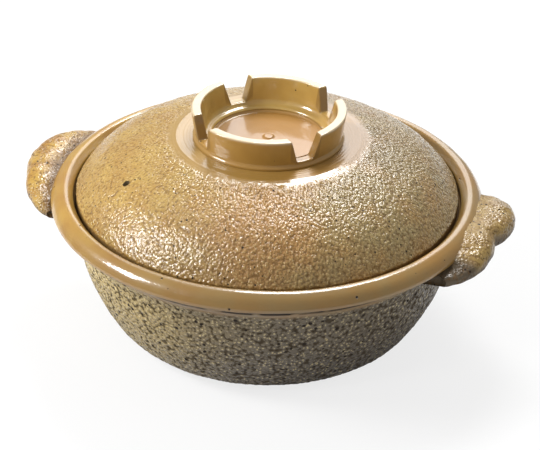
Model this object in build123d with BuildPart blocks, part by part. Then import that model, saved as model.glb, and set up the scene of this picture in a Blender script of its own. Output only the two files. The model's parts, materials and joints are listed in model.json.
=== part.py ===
from build123d import *
from math import asin, cos, degrees, radians, sin
import os

# A lidded clay cooking pot with two hand-formed ears and a notched ring for a knob.
# Millimetres. Origin: centre of the base on the table, +Z up, +X through the right ear.
os.makedirs("parts", exist_ok=True)

# ---------------------------------------------------------------- driving dimensions
# Bowl. Every radius of bowl, rim and lid is an inset from the band's outermost ridge.
BAND_RADIUS = 133.0          # axis to the outermost ridge of the rim band
POT_HEIGHT = 93.0            # table to the crest of the rim
FOOT_INSET = 59.0            # flat base, out to where the heel starts to lift
HEEL_RADIUS = 30.0           # round heel between base and flank
HEEL_TURN = 60.0             # degrees that the heel turns through
WAIST_INSET = 16.0           # flank just under the rim's cove
WAIST_DROP = 30.5            # crest down to the waist
WALL = 7.5
FLOOR = 9.0

# Rim band and the gallery that the lid sits in
BAND_DROP = 6.8              # crest down to the band's ridge
BAND_ROUND = 2.6
CREASE_INSET = 4.0           # crease where the band meets the cove under it
CREASE_DROP = 10.2
CREASE_ROUND = 1.2
CREST_INSET = 8.7            # middle of the rounded bead along the crest
BEAD_WIDTH = 3.2
BEAD_ROUND = 3.0
MOUTH_DROP = 4.2             # crest down to where the rim's inner slope turns upright
MOUTH_ROUND = 1.2
GALLERY_INSET = 13.9         # upright wall of the gallery
GALLERY_DEPTH = 9.0          # crest down to the ledge
LEDGE_WIDTH = 8.0
GALLERY_ROUND = 1.2

# Lid
LID_PLAY = 1.6               # gap between the lid's edge and the gallery wall
LID_EDGE_HEIGHT = 6.6        # upright edge of the lid, from its seat
LID_SEAT_WIDTH = 6.0         # flat ring that rests on the ledge
LID_WALL = 6.5
LID_EDGE_ROUND = 1.0
SHOULDER_INSET = 27.5        # lid's edge in to where the steep shoulder turns into the crown
SHOULDER_RISE = 21.5         # crest up to the shoulder
COLLAR_WIDTH = 11.2          # turned collar round the knob
COLLAR_RISE = 32.5           # crest up to the collar
CROWN_SLOPE = 12.0           # degrees that the crown falls at the collar's edge
VENT_DIAMETER = 4.5          # steam vent
VENT_INSET = 24.5            # lid's edge in to the vent
VENT_AZIMUTH = -137.4        # degrees from the right ear

# Knob ring
KNOB_HEIGHT = 18.8
KNOB_FOOT_RADIUS = 44.8
KNOB_FLARE = 2.0             # the ring leans outward as it rises
KNOB_WALL = 5.6              # thickness at the top
KNOB_FOOT_WIDTH = 10.8       # ring's foot, in to the mouth of the well
KNOB_STEP = 2.6              # rounded step between the wall and the well
KNOB_LIP = 0.9               # bead round the foot
KNOB_LIP_ROUND = 0.6
KNOB_LEAN = 2.6              # how much further in the ring's inner wall stands at its foot
KNOB_SOFTNESS = 0.7
NOTCH_COUNT = 4
NOTCH_DEPTH = 14.6
NOTCH_TOP_WIDTH = 19.4
NOTCH_FLOOR_WIDTH = 10.4
NOTCH_AZIMUTH = 45.0         # degrees from the right ear to the first notch
NOTCH_ROUND = 1.2
WELL_DEPTH = 1.2             # dish sunk into the lid inside the ring
NUB_RADIUS = 2.6             # turning nub at the dish's centre
NUB_HEIGHT = 0.9

# Ears: two lobes each, pressed onto the band by hand, so the pair isn't quite alike.
# A lobe is its reach past the crease, its middle and half spread in degrees, and a
# fullness: near 0 it is blunt, at 1 it is pointed. Positive angles lie away from the
# front of the pot.
EAR_HALF_WIDTH = 55.0        # half of an ear's width along the band
EAR_STATIONS = 11            # sections that an ear is lofted through
RIGHT_LOBES = ((23.5, 6.5, 11.5, 0.35), (18.5, -11.5, 14.0, 0.45))
LEFT_LOBES = ((28.5, 2.5, 19.5, 0.6), (21.0, -11.5, 14.5, 0.7))
END_REACH = 3.0              # the ends thin out against the cove
EAR_TOP_DROP = 3.0           # crest down to the ear's ridge
EAR_TOP_HALF_ANGLE = 8.0     # degrees, where the ridge starts to fall towards the ends
EAR_END_DROP = 12.5          # crest down to the top of the ends
EAR_VALLEY = 2.2             # trough beside the rim, under the ridge
EAR_SWELL = 2.4              # fullness of the shoulder over the nose and of the lip under it
EAR_CHIN_DROP = 18.0         # crest down to the lower lip
EAR_HOLLOW = 3.0             # finger hollow in the underside, over the lip
EAR_ROOT_DROP = 25.0         # crest down to the lowest seam on the cove
RIDGE_FALL = 1.4             # how late the ridge falls towards the ends

# ---------------------------------------------------------------- derived levels
base_radius = BAND_RADIUS - FOOT_INSET
waist_radius = BAND_RADIUS - WAIST_INSET
crease_radius = BAND_RADIUS - CREASE_INSET
crest_radius = BAND_RADIUS - CREST_INSET
gallery_radius = BAND_RADIUS - GALLERY_INSET
waist_z = POT_HEIGHT - WAIST_DROP
band_z = POT_HEIGHT - BAND_DROP
crease_z = POT_HEIGHT - CREASE_DROP
mouth_z = POT_HEIGHT - MOUTH_DROP
ledge_z = POT_HEIGHT - GALLERY_DEPTH
ledge_radius = gallery_radius - LEDGE_WIDTH
lid_radius = gallery_radius - LID_PLAY
shoulder_radius = lid_radius - SHOULDER_INSET
vent_radius = lid_radius - VENT_INSET
collar_radius = KNOB_FOOT_RADIUS + COLLAR_WIDTH
knob_well_radius = KNOB_FOOT_RADIUS - KNOB_FOOT_WIDTH
knob_top_radius = KNOB_FOOT_RADIUS + KNOB_FLARE
lid_edge_z = ledge_z + LID_EDGE_HEIGHT
shoulder_z = POT_HEIGHT + SHOULDER_RISE
collar_z = POT_HEIGHT + COLLAR_RISE
knob_top_z = collar_z + KNOB_HEIGHT
notch_z = knob_top_z - NOTCH_DEPTH
ear_half_angle = degrees(asin(EAR_HALF_WIDTH / BAND_RADIUS))


def ear_reach(angle, lobes):
    """How far an ear stands out past the crease at this angle."""
    reach = END_REACH
    for lobe_reach, middle, spread, fullness in lobes:
        share = min(1.0, abs(angle - middle) / spread)
        reach = max(reach, lobe_reach * cos(radians(90 * share)) ** fullness)
    return reach


def ear_section(angle, lobes):
    """Closed outline of an ear in the upright plane through the axis at this angle."""
    reach = ear_reach(angle, lobes)
    fall = max(0.0, (abs(angle) - EAR_TOP_HALF_ANGLE) / (ear_half_angle - EAR_TOP_HALF_ANGLE))
    ridge_z = POT_HEIGHT - EAR_TOP_DROP - (EAR_END_DROP - EAR_TOP_DROP) * fall**RIDGE_FALL
    chin_z = POT_HEIGHT - EAR_CHIN_DROP
    nose_z = (ridge_z + chin_z) / 2
    nose_radius = crease_radius + reach
    plumpness = reach / lobes[0][0]
    radial_plane = Plane(
        origin=(0, 0, 0),
        x_dir=(cos(radians(angle)), sin(radians(angle)), 0),
        z_dir=(sin(radians(angle)), -cos(radians(angle)), 0),
    )
    with BuildSketch(radial_plane) as section:
        with BuildLine():
            top = Bezier(
                (waist_radius, min(ledge_z, ridge_z) - EAR_VALLEY),
                (crease_radius + reach / 10, ridge_z - EAR_VALLEY * plumpness),
                (crease_radius + reach / 2, ridge_z + EAR_SWELL * plumpness),
                (nose_radius, ridge_z + EAR_SWELL * plumpness),
                (nose_radius, nose_z),
            )
            under = Bezier(
                top @ 1,
                (nose_radius, chin_z),
                (nose_radius - reach / 3, chin_z - EAR_SWELL * plumpness),
                (crease_radius + reach / 5, chin_z + EAR_HOLLOW * plumpness),
                (waist_radius - WALL / 2, POT_HEIGHT - EAR_ROOT_DROP),
            )
            Line(under @ 1, top @ 0)
        make_face()
    return section.sketch


def inward(arc, end, depth):
    """Point square to an arc's end (0 or 1), this deep under the lid's outer face."""
    tangent = arc % end
    return (arc @ end) + Vector(tangent.Y, -tangent.X) * depth


# ---------------------------------------------------------------- bowl
rim_rounds = [
    CREASE_ROUND,
    BAND_ROUND,
    BEAD_ROUND,
    BEAD_ROUND,
    MOUTH_ROUND,
    GALLERY_ROUND,
    GALLERY_ROUND,
]

with BuildPart() as pot_bowl:
    with BuildSketch(Plane.XZ) as bowl_section:
        with BuildLine():
            base = Line((0, 0), (base_radius, 0))
            heel = JernArc(base @ 1, (1, 0), HEEL_RADIUS, HEEL_TURN)
            flank = TangentArc(heel @ 1, (waist_radius, waist_z), tangent=heel % 1)
            cove = TangentArc(flank @ 1, (crease_radius, crease_z), tangent=flank % 1)
            rim = FilletPolyline(
                cove @ 1,
                (BAND_RADIUS, crease_z + BAND_ROUND / 2),
                (BAND_RADIUS, band_z),
                (crest_radius + BEAD_WIDTH / 2, POT_HEIGHT),
                (crest_radius - BEAD_WIDTH / 2, POT_HEIGHT),
                (gallery_radius, mouth_z),
                (gallery_radius, ledge_z),
                (ledge_radius, ledge_z),
                (waist_radius - WALL, waist_z),
                radius=rim_rounds,
            )
            floor_heel = JernArc((base_radius, FLOOR), (1, 0), HEEL_RADIUS - WALL, HEEL_TURN)
            TangentArc(floor_heel @ 1, rim @ 1, tangent=floor_heel % 1)
            Polyline(floor_heel @ 0, (0, FLOOR), base @ 0)
        make_face()
    revolve(axis=Axis.Z)
pot_bowl.part.label = "pot_bowl"

# ---------------------------------------------------------------- ears
ear_angles = [
    ear_half_angle * (2 * station / (EAR_STATIONS - 1) - 1) for station in range(EAR_STATIONS)
]

with BuildPart() as right_ear:
    for ear_angle in ear_angles:
        add(ear_section(ear_angle, RIGHT_LOBES))
    loft()
    add(pot_bowl.part, mode=Mode.SUBTRACT)
right_ear.part.label = "right_ear"

with BuildPart() as left_form:
    for ear_angle in ear_angles:
        add(ear_section(ear_angle, LEFT_LOBES))
    loft()
    add(pot_bowl.part, mode=Mode.SUBTRACT)

with BuildPart() as left_ear:
    mirror(left_form.part, about=Plane.YZ)
left_ear.part.label = "left_ear"

# ---------------------------------------------------------------- lid
with BuildPart() as lid_dome:
    with BuildSketch(Plane.XZ) as lid_section:
        with BuildLine():
            well = Polyline(
                (0, collar_z - WELL_DEPTH),
                (knob_well_radius - WELL_DEPTH, collar_z - WELL_DEPTH),
                (knob_well_radius, collar_z),
                (collar_radius, collar_z),
            )
            crown = TangentArc(
                well @ 1,
                (shoulder_radius, shoulder_z),
                tangent=(cos(radians(CROWN_SLOPE)), -sin(radians(CROWN_SLOPE))),
            )
            shoulder = TangentArc(crown @ 1, (lid_radius, lid_edge_z), tangent=crown % 1)
            seat = FilletPolyline(
                shoulder @ 1,
                (lid_radius, ledge_z),
                (lid_radius - LID_SEAT_WIDTH, ledge_z),
                (lid_radius - LID_SEAT_WIDTH, ledge_z + LID_EDGE_ROUND * 2),
                radius=LID_EDGE_ROUND,
            )
            under_crown = TangentArc(
                inward(crown, 0, LID_WALL), inward(crown, 1, LID_WALL), tangent=crown % 0
            )
            TangentArc(under_crown @ 1, seat @ 1, tangent=under_crown % 1)
            under_top = Line(under_crown @ 0, (0, (under_crown @ 0).Y))
            Line(under_top @ 1, well @ 0)
        make_face()
    revolve(axis=Axis.Z)
    with Locations((0, 0, collar_z - WELL_DEPTH)):
        Cylinder(NUB_RADIUS, NUB_HEIGHT, align=(Align.CENTER, Align.CENTER, Align.MIN))
    with Locations((0, 0, collar_z)):
        with PolarLocations(vent_radius, 1, start_angle=VENT_AZIMUTH):
            Hole(VENT_DIAMETER / 2)
lid_dome.part.label = "lid_dome"

# ---------------------------------------------------------------- knob ring
with BuildPart() as knob_ring:
    with BuildSketch(Plane.XZ) as knob_section:
        with BuildLine():
            outline = FilletPolyline(
                (knob_well_radius, collar_z),
                (KNOB_FOOT_RADIUS + KNOB_LIP, collar_z),
                (KNOB_FOOT_RADIUS + KNOB_LIP, collar_z + KNOB_LIP * 2),
                (KNOB_FOOT_RADIUS, collar_z + KNOB_LIP * 3),
                (knob_top_radius, knob_top_z),
                (knob_top_radius - KNOB_WALL, knob_top_z),
                (knob_top_radius - KNOB_WALL - KNOB_LEAN, collar_z + KNOB_STEP),
                (knob_well_radius, collar_z + KNOB_STEP / 2),
                radius=[0, KNOB_LIP_ROUND, KNOB_LIP_ROUND, KNOB_SOFTNESS, KNOB_SOFTNESS, KNOB_STEP],
            )
            Line(outline @ 1, outline @ 0)
        make_face()
    revolve(axis=Axis.Z)
    notch_flare = (NOTCH_TOP_WIDTH - NOTCH_FLOOR_WIDTH) / 2 / NOTCH_DEPTH
    cut_height = NOTCH_DEPTH + KNOB_SOFTNESS
    for index in range(NOTCH_COUNT):
        azimuth = radians(NOTCH_AZIMUTH + index * 360 / NOTCH_COUNT)
        notch_plane = Plane(
            origin=(0, 0, notch_z),
            x_dir=(-sin(azimuth), cos(azimuth), 0),
            z_dir=(cos(azimuth), sin(azimuth), 0),
        )
        with BuildSketch(notch_plane) as notch:
            Polygon(
                (-NOTCH_FLOOR_WIDTH / 2, 0),
                (NOTCH_FLOOR_WIDTH / 2, 0),
                (NOTCH_FLOOR_WIDTH / 2 + notch_flare * cut_height, cut_height),
                (-NOTCH_FLOOR_WIDTH / 2 - notch_flare * cut_height, cut_height),
                align=None,
            )
            fillet(notch.vertices().group_by(Axis.Y)[0], NOTCH_ROUND)
        extrude(amount=knob_top_radius + KNOB_LIP, mode=Mode.SUBTRACT)
knob_ring.part.label = "knob_ring"

for piece in (pot_bowl, right_ear, left_ear, lid_dome, knob_ring):
    export_step(piece.part, f"parts/{piece.part.label}.step")
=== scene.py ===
"""Looks of a lidded clay cooking pot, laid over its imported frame. Everything is in metres."""

import json
import logging
import math
from dataclasses import dataclass, field
from enum import Enum
from typing import Callable

import bpy
import numpy as np
from mathutils import Matrix, Vector

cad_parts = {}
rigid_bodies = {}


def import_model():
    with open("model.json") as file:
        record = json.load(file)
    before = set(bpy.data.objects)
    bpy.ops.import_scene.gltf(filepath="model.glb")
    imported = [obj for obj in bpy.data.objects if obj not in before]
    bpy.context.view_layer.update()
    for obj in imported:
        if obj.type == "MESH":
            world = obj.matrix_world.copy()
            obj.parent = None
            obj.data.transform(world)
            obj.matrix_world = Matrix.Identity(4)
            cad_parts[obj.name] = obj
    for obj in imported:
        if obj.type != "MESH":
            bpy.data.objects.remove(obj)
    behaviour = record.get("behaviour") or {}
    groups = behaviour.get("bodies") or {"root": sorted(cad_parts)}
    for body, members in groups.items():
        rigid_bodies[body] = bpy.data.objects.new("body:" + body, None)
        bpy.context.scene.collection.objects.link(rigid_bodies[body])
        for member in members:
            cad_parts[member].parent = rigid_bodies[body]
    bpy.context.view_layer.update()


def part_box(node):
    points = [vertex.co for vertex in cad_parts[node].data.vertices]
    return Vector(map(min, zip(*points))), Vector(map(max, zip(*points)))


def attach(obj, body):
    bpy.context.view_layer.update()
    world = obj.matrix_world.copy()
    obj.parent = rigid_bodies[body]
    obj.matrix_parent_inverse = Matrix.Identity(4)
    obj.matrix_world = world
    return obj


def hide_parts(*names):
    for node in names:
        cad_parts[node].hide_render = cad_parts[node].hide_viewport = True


LOG = logging.getLogger("clay_pot")
MM = 0.001
UNROLL_RADIUS = 85 * MM
UNROLL_ACROSS = 0.7
Point = tuple[float, float]
Array = np.ndarray


# ---------------------------------------------------------------- hand work: noise, profiles, meshes
@dataclass(frozen=True)
class HandWork:
    """Seeded unevenness of clay, as smooth swells and as scattered grains."""

    seed: int

    def _lot(self, cells: Array) -> Array:
        """Draws a whole number of 30 bits for each whole-numbered cell."""
        east, north, up = cells.astype(np.int64).T
        mixed = east * 73856093 ^ north * 19349663 ^ up * 83492791 ^ self.seed * 2654435761
        mixed &= 0xFFFFFFFF
        mixed = ((mixed ^ (mixed >> 15)) * 2246822519) & 0xFFFFFFFF
        mixed = ((mixed ^ (mixed >> 13)) * 3266489917) & 0xFFFFFFFF
        return (mixed ^ (mixed >> 16)) & 0x3FFFFFFF

    def swell(self, points: Array, size: float) -> Array:
        """Smooth swells and hollows.

        Args:
            points: places, one row each, in metres.
            size: distance from one swell to the next.

        Returns:
            A height from -1 to 1 for each place.
        """
        scaled = points / size
        cell = np.floor(scaled)
        share = scaled - cell
        share = share * share * (3 - 2 * share)
        total = np.zeros(len(points))
        for corner in np.ndindex(2, 2, 2):
            step = np.array(corner)
            weight = np.prod(np.where(step == 1, share, 1 - share), axis=1)
            total += weight * self._lot(cell + step)
        return total / 0x20000000 - 1

    def layered(self, points: Array, size: float, layers: int = 3) -> Array:
        """Swells with finer ones on top, each half the size and height of the last."""
        total = np.zeros(len(points))
        for layer in range(layers):
            total += self.swell(points + layer * 0.137, size / 2**layer) / 2**layer
        return total

    def grains(self, points: Array, size: float) -> Array:
        """Rounded grains packed side by side.

        Args:
            points: places, one row each, in metres.
            size: width of a grain.

        Returns:
            1 at a grain's middle, falling to about 0 between grains.
        """
        scaled = points / size
        cell = np.floor(scaled)
        nearest = np.full(len(points), 9.0)
        for corner in np.ndindex(3, 3, 3):
            home = cell + np.array(corner) - 1
            lot = self._lot(home)
            spot = home + np.stack([lot >> bits & 1023 for bits in (0, 10, 20)], axis=1) / 1023
            nearest = np.minimum(nearest, ((spot - scaled) ** 2).sum(axis=1))
        return np.clip(1 - nearest, 0, 1)


def ramp(values: Array, start: float, end: float) -> Array:
    """Rises smoothly from 0 at start to 1 at end, or falls where end is the smaller."""
    share = np.clip((values - start) / (end - start), 0, 1)
    return share * share * (3 - 2 * share)


class Profile:
    """A line in the plane of radius and height, laid down from point to point."""

    def __init__(self, start: Point, spacing: float) -> None:
        """Starts at a point, with this distance between the points to come."""
        self.points: list[Array] = [np.array(start, float)]
        self.spacing = spacing
        self.marks: dict[str, int] = {"start": 0}

    def heading(self) -> Array:
        """Unit direction of the last stretch."""
        step = self.points[-1] - self.points[-2]
        return step / np.linalg.norm(step)

    def mark(self, name: str) -> "Profile":
        """Names the point that the line has reached."""
        self.marks[name] = len(self.points) - 1
        return self

    def space(self, spacing: float) -> "Profile":
        """Changes the distance between the points to come."""
        self.spacing = spacing
        return self

    def line(self, end: Point | Array) -> "Profile":
        """Goes straight to a point."""
        first, last = self.points[-1], np.array(end, float)
        length = np.linalg.norm(last - first)
        if length < 1e-9:
            return self
        count = max(1, round(length / self.spacing))
        self.points += [first + (last - first) * step / count for step in range(1, count + 1)]
        return self

    def arc(self, end: Point | Array, heading: Array | None = None) -> "Profile":
        """Goes to a point on a round arc.

        Args:
            end: where the arc ends.
            heading: direction at its start, or that of the last stretch.

        Returns:
            The profile itself.
        """
        first, last = self.points[-1], np.array(end, float)
        ahead = self.heading() if heading is None else heading / np.linalg.norm(heading)
        side = np.array([-ahead[1], ahead[0]])
        across = last - first
        lean = across @ side
        if abs(lean) < 1e-9:
            return self.line(end)
        radius = (across @ across) / (2 * lean)
        turn = 2 * math.atan2(lean, across @ ahead)
        count = max(2, round(abs(turn * radius) / self.spacing))
        for step in range(1, count + 1):
            angle = turn * step / count
            along = ahead * math.sin(angle) + side * (1 - math.cos(angle))
            self.points.append(first + along * radius)
        return self

    def bend(self, radius: float, turn: float) -> "Profile":
        """Turns left by an angle in radians, on an arc of this radius, from the last heading."""
        ahead = self.heading()
        side = np.array([-ahead[1], ahead[0]])
        chord = ahead * math.sin(turn) + side * (1 - math.cos(turn))
        return self.arc(self.points[-1] + chord * radius)

    def rounded(self, corners: list[tuple[float, float, float]]) -> "Profile":
        """Goes straight from corner to corner, each rounded by its third number."""
        path = [(*self.points[-1], 0.0), *corners]
        for before, corner, after in zip(path, path[1:], path[2:]):
            here = np.array(corner[:2])
            back = np.array(before[:2]) - here
            ahead = np.array(after[:2]) - here
            back /= np.linalg.norm(back)
            ahead /= np.linalg.norm(ahead)
            half = math.acos(max(-1.0, min(1.0, float(back @ ahead)))) / 2
            trim = corner[2] / math.tan(half)
            self.line(here + back * trim)
            if corner[2] > 0:
                self.arc(here + ahead * trim, heading=-back)
        return self.line(path[-1][:2])

    def outline(self) -> Array:
        """The points as rows of radius and height."""
        return np.array(self.points)

    def share(self, start: str, end: str) -> Array:
        """1 for the points from one mark to another, and 0 elsewhere."""
        index = np.arange(len(self.points))
        return ((index >= self.marks[start]) & (index <= self.marks[end])).astype(float)


def softened(values: Array, soft: float) -> Array:
    """0 below 0 and the value itself above it, with the corner rounded as far as soft to both sides."""
    return np.where(values < -soft, 0, np.where(values > soft, values, (values + soft) ** 2 / (4 * soft)))


def all_round(rows: Array, segments: int) -> Array:
    """Gives each row's value to every segment of it."""
    return np.repeat(rows[:, None], segments, axis=1)


def turned(outline: Array, segments: int) -> Array:
    """Places of a profile turned round the pot's axis, as rows, segments and X Y Z."""
    angles = np.linspace(0, 2 * math.pi, segments, endpoint=False)
    radius = outline[:, 0][:, None]
    height = all_round(outline[:, 1], segments)
    return np.stack([radius * np.cos(angles), radius * np.sin(angles), height], axis=2)


def grid_normals(grid: Array, round_rows: bool, round_columns: bool) -> Array:
    """Unit normals of a grid of places.

    Args:
        grid: places as rows, columns and X Y Z.
        round_rows: whether the last row meets the first.
        round_columns: whether the last column meets the first.

    Returns:
        Normals in the grid's own shape.
    """

    def slope(axis: int, closed: bool) -> Array:
        """Difference of neighbours along an axis."""
        if closed:
            return np.roll(grid, -1, axis=axis) - np.roll(grid, 1, axis=axis)
        return np.gradient(grid, axis=axis)

    normal = np.cross(slope(1, round_columns), slope(0, round_rows))
    return normal / np.maximum(np.linalg.norm(normal, axis=2, keepdims=True), 1e-12)


def raised(grid: Array, normals: Array, relief: Array) -> Array:
    """The grid's places, moved along their normals by the relief in metres."""
    return grid + normals * relief.reshape(grid.shape[:2])[:, :, None]


def grid_object(
    name: str, grid: Array, round_rows: bool, marks: dict[str, Array], capped: bool = True
) -> bpy.types.Object:
    """Mesh object over a grid whose columns go all the way round or whose rows do.

    Args:
        name: name of the object.
        grid: places as rows, columns and X Y Z.
        round_rows: the rows close on themselves and the columns don't, or the other way about.
        marks: named values from 0 to 1 for each place, which the finishes read.
        capped: whether a face closes each open end.

    Returns:
        The new object, linked to the scene and shaded smooth.
    """
    rows, columns = grid.shape[:2]
    index = np.arange(rows * columns).reshape(rows, columns)
    if round_rows:
        low, high = index, np.roll(index, -1, axis=0)
        quads = np.stack([low[:, :-1], high[:, :-1], high[:, 1:], low[:, 1:]], axis=2)
        ends = [index[:, 0], index[::-1, -1]]
    else:
        left, right = index, np.roll(index, -1, axis=1)
        quads = np.stack([left[:-1], right[:-1], right[1:], left[1:]], axis=2)
        ends = [index[0, ::-1], index[-1]]
    caps = ends if capped else []
    corners = np.concatenate([quads.ravel(), *caps])
    sizes = np.array([4] * (quads.size // 4) + [len(cap) for cap in caps])
    mesh = bpy.data.meshes.new(name)
    mesh.vertices.add(rows * columns)
    mesh.vertices.foreach_set("co", grid.astype(np.float32).ravel())
    mesh.loops.add(len(corners))
    mesh.loops.foreach_set("vertex_index", corners.astype(np.int32))
    mesh.polygons.add(len(sizes))
    mesh.polygons.foreach_set("loop_start", (np.cumsum(sizes) - sizes).astype(np.int32))
    mesh.update(calc_edges=True)
    mesh.polygons.foreach_set("use_smooth", np.ones(len(sizes), bool))
    for label, values in marks.items():
        layer = mesh.attributes.new(label, "FLOAT", "POINT")
        layer.data.foreach_set("value", values.astype(np.float32).ravel())
    mesh.validate()
    made = bpy.data.objects.new(name, mesh)
    bpy.context.scene.collection.objects.link(made)
    return made


def frozen(source: bpy.types.Object) -> bpy.types.Object:
    """Applies an object's modifiers to its mesh."""
    bpy.context.view_layer.update()
    graph = bpy.context.evaluated_depsgraph_get()
    mesh = bpy.data.meshes.new_from_object(source.evaluated_get(graph))
    source.modifiers.clear()
    source.data = mesh
    return source


# ---------------------------------------------------------------- shader sheets and shared effects
class Sheet:
    """A node tree that is filled in node by node."""

    def __init__(self, tree: bpy.types.NodeTree) -> None:
        """Takes an empty node tree."""
        self.tree = tree

    def node(self, kind: str, settings: dict | None = None, **inputs: object) -> bpy.types.Node:
        """Adds a node.

        Args:
            kind: the node's type, without ShaderNode.
            settings: properties of the node.
            inputs: a value or an output socket for each input, by name with _ for a space.

        Returns:
            The new node.
        """
        made = self.tree.nodes.new("ShaderNode" + kind)
        for key, value in (settings or {}).items():
            setattr(made, key, value)
        self.feeds(made, **inputs)
        return made

    def feed(self, node: bpy.types.Node, name: str | int, value: object) -> None:
        """Sets an input, or links it where the value is another node's output."""
        socket = node.inputs[name]
        if isinstance(value, bpy.types.NodeSocket):
            self.tree.links.new(value, socket)
        else:
            socket.default_value = value

    def feeds(self, node: bpy.types.Node, *places: object, **inputs: object) -> None:
        """Feeds a node's first inputs in order, and others by name with _ for a space."""
        for key, value in [*enumerate(places), *inputs.items()]:
            self.feed(node, key if isinstance(key, int) else key.replace("_", " "), value)

    def maths(self, operation: str, *values: object, clamp: bool = False) -> bpy.types.NodeSocket:
        """Result of a Math node."""
        made = self.node("Math", {"operation": operation, "use_clamp": clamp})
        self.feeds(made, *values)
        return made.outputs[0]

    def vector(self, operation: str, *values: object, **inputs: object) -> bpy.types.Node:
        """A Vector Math node with its inputs fed."""
        made = self.node("VectorMath", {"operation": operation}, **inputs)
        self.feeds(made, *values)
        return made

    def times(self, first: object, second: object) -> bpy.types.NodeSocket:
        """Product of two numbers."""
        return self.maths("MULTIPLY", first, second)

    def most(self, first: object, *others: object) -> bpy.types.NodeSocket:
        """Largest of several numbers."""
        for other in others:
            first = self.maths("MAXIMUM", first, other)
        return first

    def blend(self, share: object, low: object, high: object) -> bpy.types.NodeSocket:
        """Colour between two colours, by a share from 0 to 1."""
        made = self.node("Mix", {"data_type": "RGBA"})
        self.feed(made, 0, share)
        self.feed(made, 6, low)
        self.feed(made, 7, high)
        return made.outputs[2]

    def tint(self, colour: object, mask: object, share: object, over: object) -> bpy.types.NodeSocket:
        """Colour with another one over it, as strongly as the product of a mask and a share."""
        return self.blend(self.times(mask, share), colour, over)

    def between(self, share: object, low: object, high: object) -> bpy.types.NodeSocket:
        """Number between two numbers, by a share from 0 to 1."""
        made = self.node("Mix", {"data_type": "FLOAT"})
        self.feed(made, 0, share)
        self.feed(made, 2, low)
        self.feed(made, 3, high)
        return made.outputs[0]

    def ramp(self, value: object, start: object, end: object) -> bpy.types.NodeSocket:
        """0 at start and 1 at end, smoothly."""
        smooth = {"interpolation_type": "SMOOTHSTEP"}
        return self.node("MapRange", smooth, Value=value, From_Min=start, From_Max=end).outputs[0]

    def noise(self, where: object, per_metre: float, detail: float = 2.0) -> bpy.types.NodeSocket:
        """Noise from 0 to 1 with this many swells to the metre."""
        made = self.node("TexNoise", Vector=where, Scale=per_metre, Detail=detail)
        return made.outputs["Fac"]

    def group(self, tree: bpy.types.NodeTree, **inputs: object) -> bpy.types.Node:
        """Adds a shared effect with its own values."""
        made = self.tree.nodes.new("ShaderNodeGroup")
        made.node_tree = tree
        self.feeds(made, **inputs)
        return made


class Effect(Enum):
    """Shared effects, each a node group that is built once."""

    PLACE = "pot_place"
    CRAWL = "crawled_skin"
    SPECKS = "iron_specks"
    PATCH = "kiln_patch"
    TURNING = "turning_lines"

    def tree(self) -> bpy.types.NodeTree:
        """The effect's node group, built where it isn't there yet."""
        found = bpy.data.node_groups.get(self.value)
        if found:
            return found
        made = bpy.data.node_groups.new(self.value, "ShaderNodeTree")
        BUILDERS[self](made)
        return made


def sockets(tree: bpy.types.NodeTree, inputs: dict[str, tuple], outputs: dict[str, str]) -> tuple:
    """Gives a group its sockets.

    Args:
        tree: the node group.
        inputs: socket type and standing value for each input.
        outputs: socket type for each output.

    Returns:
        The nodes for what comes in and what goes out.
    """
    for name, (kind, value) in inputs.items():
        made = tree.interface.new_socket(name, in_out="INPUT", socket_type="NodeSocket" + kind)
        made.default_value = value
    for name, kind in outputs.items():
        tree.interface.new_socket(name, in_out="OUTPUT", socket_type="NodeSocket" + kind)
    return tree.nodes.new("NodeGroupInput"), tree.nodes.new("NodeGroupOutput")


def build_place(tree: bpy.types.NodeTree) -> None:
    """Where a point is on the pot: its place, its distance from the axis and its height.

    Around is the same place unrolled, so that X runs round the pot and Y and Z run across it.
    """
    outputs = {"Vector": "Vector", "Around": "Vector", "Radius": "Float", "Height": "Float"}
    _, out = sockets(tree, {}, outputs)
    sheet = Sheet(tree)
    place = sheet.node("TexCoord").outputs["Object"]
    parts = sheet.node("SeparateXYZ", Vector=place)
    flat = sheet.node("CombineXYZ", X=parts.outputs[0], Y=parts.outputs[1])
    length = sheet.vector("LENGTH", flat.outputs[0]).outputs["Value"]
    backward = sheet.times(parts.outputs[1], -1.0)
    angle = sheet.maths("ARCTAN2", parts.outputs[0], backward)
    around = sheet.node(
        "CombineXYZ",
        X=sheet.times(angle, UNROLL_RADIUS),
        Y=sheet.times(length, UNROLL_ACROSS),
        Z=sheet.times(parts.outputs[2], UNROLL_ACROSS),
    )
    sheet.feeds(out, Vector=place, Around=around.outputs[0], Radius=length, Height=parts.outputs[2])


def build_crawl(tree: bpy.types.NodeTree) -> None:
    """Glaze that drew up into small beads: its height, and masks of its beads and its gaps."""
    come, out = sockets(
        tree,
        {"Vector": ("Vector", (0, 0, 0)), "Beads per Metre": ("Float", 500.0), "Wander": ("Float", 0.0008)},
        {"Height": "Float", "Beads": "Float", "Gaps": "Float"},
    )
    sheet = Sheet(tree)
    where, per_metre = come.outputs["Vector"], come.outputs["Beads per Metre"]
    drift = sheet.node("TexNoise", Vector=where, Scale=260.0, Detail=2.0)
    centred = sheet.vector("SUBTRACT", drift.outputs["Color"], (0.5, 0.5, 0.5)).outputs[0]
    scaled = sheet.vector("SCALE", centred, Scale=come.outputs["Wander"]).outputs[0]
    moved = sheet.vector("ADD", where, scaled).outputs[0]
    beads = sheet.node(
        "TexVoronoi", {"feature": "SMOOTH_F1"}, Vector=moved, Scale=per_metre, Smoothness=0.25
    )
    finer = sheet.times(per_metre, 1.3)
    fine = sheet.node("TexNoise", Vector=moved, Scale=finer, Detail=2.0, Roughness=0.6)
    crest = sheet.maths("SUBTRACT", 1.0, sheet.times(beads.outputs["Distance"], 1.25))
    height = sheet.between(0.5, crest, fine.outputs["Fac"])
    sheet.feeds(out, Height=height, Beads=sheet.ramp(height, 0.42, 0.66), Gaps=sheet.ramp(height, 0.37, 0.25))


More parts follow.
